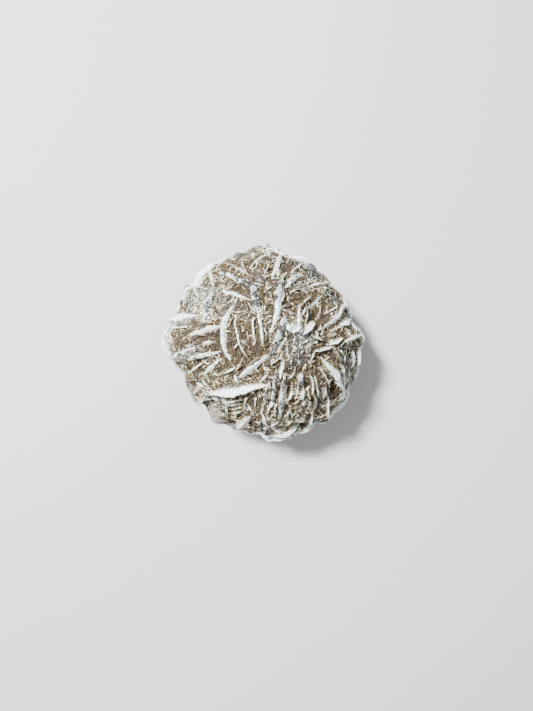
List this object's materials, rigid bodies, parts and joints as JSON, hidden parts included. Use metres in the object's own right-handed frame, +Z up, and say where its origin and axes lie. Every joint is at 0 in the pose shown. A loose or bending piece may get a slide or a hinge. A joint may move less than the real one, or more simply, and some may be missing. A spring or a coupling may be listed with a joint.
{
  "type": "gypsum sand rose",
  "caption": "Rounded sand rose: one dense lump of lens-shaped gypsum crystals, seen edge-on, that stand out of sandy hollows and fan round its sides. It rests on a worn flat patch.",
  "frame": {"origin": "middle of the worn flat patch that the stone rests on", "axes": "+Z up, out of the dome; +X and +Y level, along the stone's plan"},
  "size_m": [0.0611, 0.06, 0.0408],
  "materials": {
    "sandy_gypsum": "rough, dull and sandy, with near-white crystal edges"
  },
  "bodies": {
    "root": {"sand_rose": "sandy_gypsum"}
  },
  "joints": []
}
